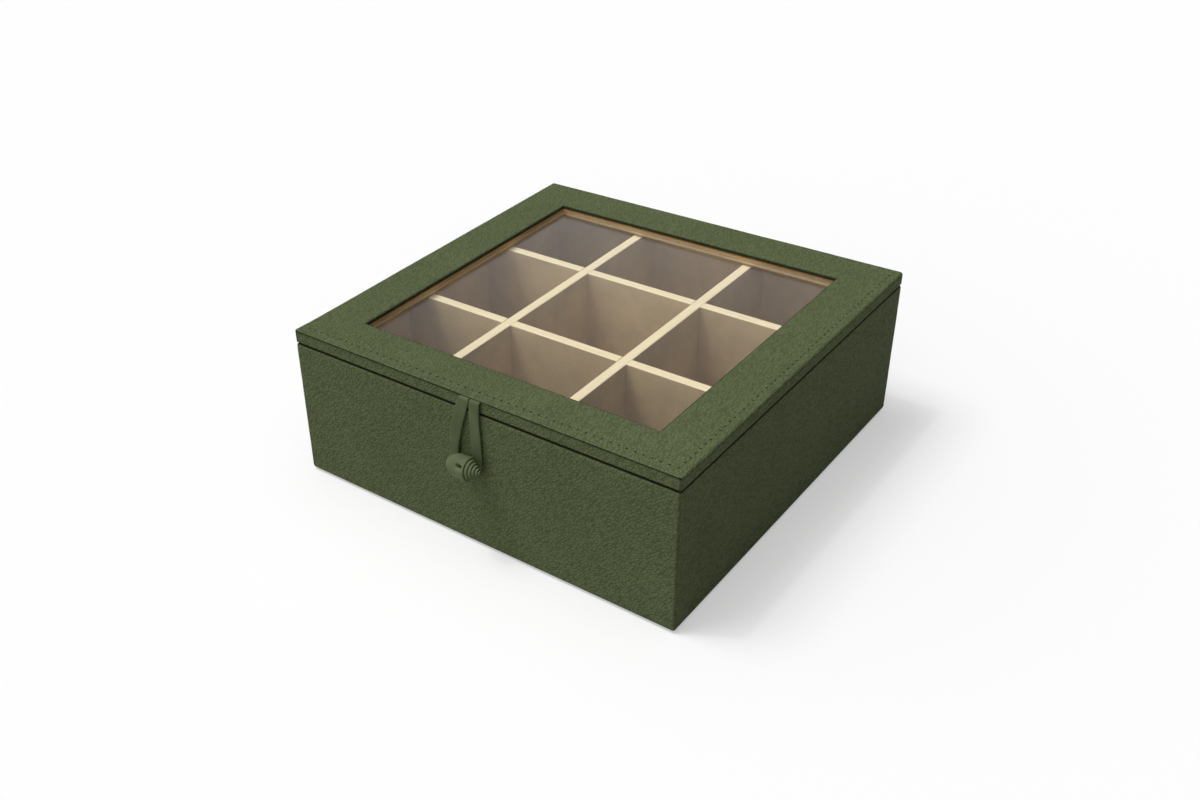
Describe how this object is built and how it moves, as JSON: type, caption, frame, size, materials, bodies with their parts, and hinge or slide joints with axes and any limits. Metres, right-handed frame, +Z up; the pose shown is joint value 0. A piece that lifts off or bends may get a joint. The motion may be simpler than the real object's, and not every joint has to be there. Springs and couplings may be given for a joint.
{
  "type": "tea bag organizer box",
  "caption": "Square leather-covered box with a divided interior for tea bags, a hinged lid with a glass window, and a strap loop that closes over a rolled toggle.",
  "frame": {"origin": "middle of the underside, where the box rests", "axes": "+Z up; the front, with the toggle, faces -Y; the hinges are at +Y; +X is the right-hand side seen from the front"},
  "size_m": [0.24, 0.2587, 0.091],
  "materials": {
    "leather": "olive green pebbled leather, matt, fine grain",
    "strap": "smooth olive green leather, matt",
    "suede": "taupe microsuede lining",
    "felt": "dark grey felt",
    "board": "medium density fibreboard",
    "divider": "cream painted edge, taupe suede faces",
    "frame_wood": "honey coloured wood, clear satin lacquer",
    "glass": "clear float glass",
    "brass": "brushed brass"
  },
  "bodies": {
    "body": {"base_felt": "felt", "base_filler": "board", "base_board": "board", "front_board": "board", "back_board": "board", "left_board": "board", "right_board": "board", "body_leather": "leather", "floor_lining": "suede", "front_lining": "suede", "back_lining": "suede", "left_lining": "suede", "right_lining": "suede", "divider_front": "divider", "divider_back": "divider", "divider_left": "divider", "divider_right": "divider", "hinge_body_leaves": "brass", "hinge_pins": "brass", "hinge_body_screws": "brass"},
    "lid": {"lid_front_rail": "frame_wood", "lid_back_rail": "frame_wood", "lid_left_rail": "frame_wood", "lid_right_rail": "frame_wood", "lid_leather": "leather", "lid_front_band": "leather", "lid_lining": "suede", "glass_pane": "glass", "glass_beads": "frame_wood", "hinge_lid_leaves": "brass", "hinge_lid_screws": "brass", "loop_tab": "strap"},
    "loop": {"closure_loop": "strap"},
    "toggle": {"toggle_bead": "strap", "toggle_thong": "strap", "thong_washer": "brass"}
  },
  "joints": [
    {"name": "lid_hinge", "type": "hinge", "parent": "body", "child": "lid", "pos_m": [0, 0.1222, 0.08297], "axis": [-1, 0, 0], "range_deg": [0, 100], "deforming": ["closure_loop"]},
    {"name": "loop_swing", "type": "hinge", "parent": "lid", "child": "loop", "pos_m": [0.0014, -0.1211, 0.0899], "axis": [-1, 0, 0], "range_deg": [0, 120], "deforming": ["closure_loop"]},
    {"name": "toggle_turn", "type": "hinge", "parent": "body", "child": "toggle", "pos_m": [0.0003, -0.1284, 0.0546], "axis": [0, 1, 0], "range_deg": [-90, 90]}
  ]
}
